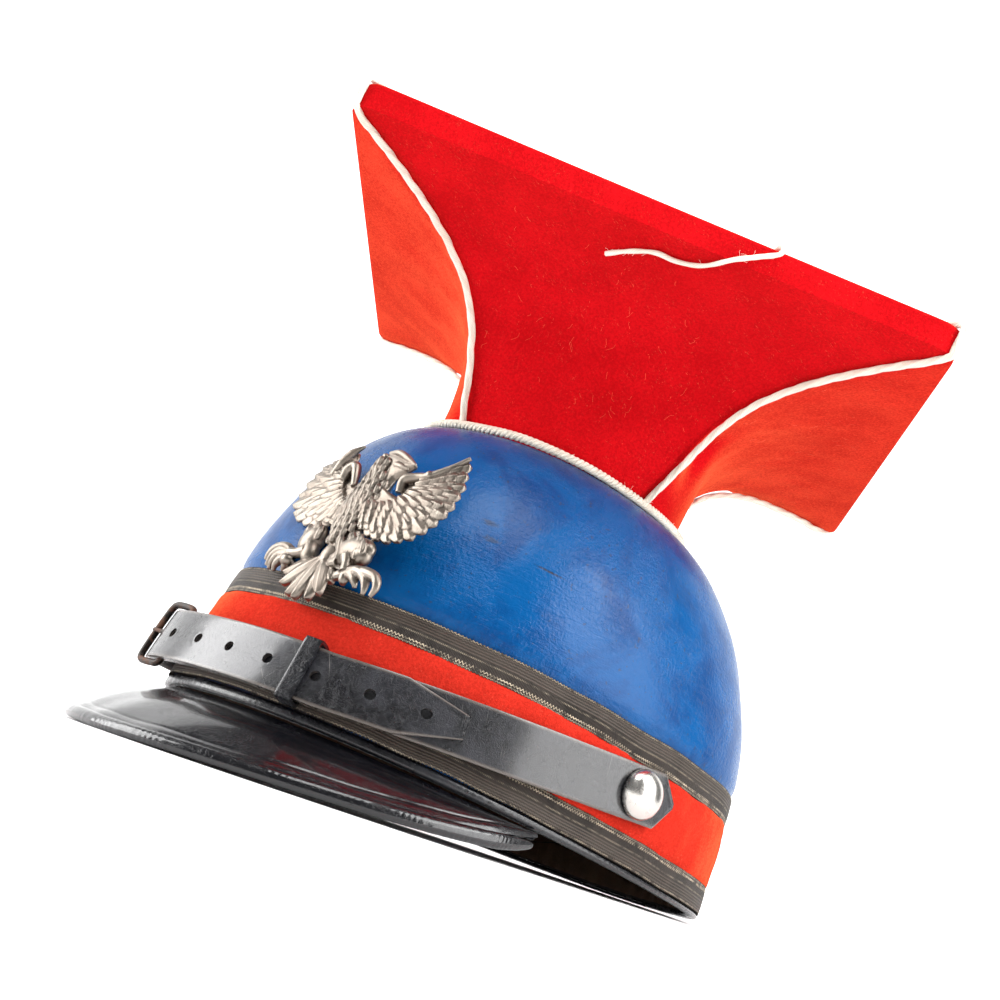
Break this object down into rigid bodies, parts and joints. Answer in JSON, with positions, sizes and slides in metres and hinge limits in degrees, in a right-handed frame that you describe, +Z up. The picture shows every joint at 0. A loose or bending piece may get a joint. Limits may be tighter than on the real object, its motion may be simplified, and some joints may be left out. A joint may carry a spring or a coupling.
{
  "type": "cavalry helmet",
  "caption": "Lancer's helmet with a rounded skull, a waisted square crown, a front peak, an eagle plate and a buckled chin strap worn over the peak.",
  "frame": {"origin": "on the surface the helmet stands on, below the middle of its overall box", "axes": "+Z up, -Y towards the front (the peak), +X towards the wearer's left; the helmet leans back about 7 degrees because it stands on its peak and the rear of its rim"},
  "size_m": [0.3032, 0.3092, 0.2324],
  "materials": {
    "skull_paint": "blue lacquer over canvas and leather, glossy, scuffed",
    "red_cloth": "felted wool cloth, napped",
    "white_cord": "off-white twisted and covered cord, frayed in places",
    "lace": "tarnished metal-thread lace",
    "black_leather": "polished, creased",
    "patent_leather": "patent, high gloss",
    "brown_leather": "matt, gathered",
    "white_metal": "cast white metal, worn bright on the high places",
    "iron": "dark wire with light rust"
  },
  "bodies": {
    "root": {"skull": "skull_paint", "braid_lower": "lace", "braid_upper": "lace", "band_cloth": "red_cloth", "rim_binding": "black_leather", "sweatband": "black_leather", "rear_gusset": "brown_leather", "crown_front_left": "red_cloth", "crown_rear_left": "red_cloth", "crown_rear_right": "red_cloth", "crown_front_right": "red_cloth", "crown_top": "red_cloth", "piping_front": "white_cord", "piping_left": "white_cord", "piping_rear": "white_cord", "piping_right": "white_cord", "waist_cord": "white_cord", "peak": "patent_leather", "peak_binding": "patent_leather", "strap_left": "black_leather", "strap_right": "black_leather", "strap_keeper": "black_leather", "strap_buckle": "iron", "button_left": "white_metal", "button_right": "white_metal", "eagle_badge": "white_metal", "loose_cord": "white_cord"}
  },
  "joints": []
}
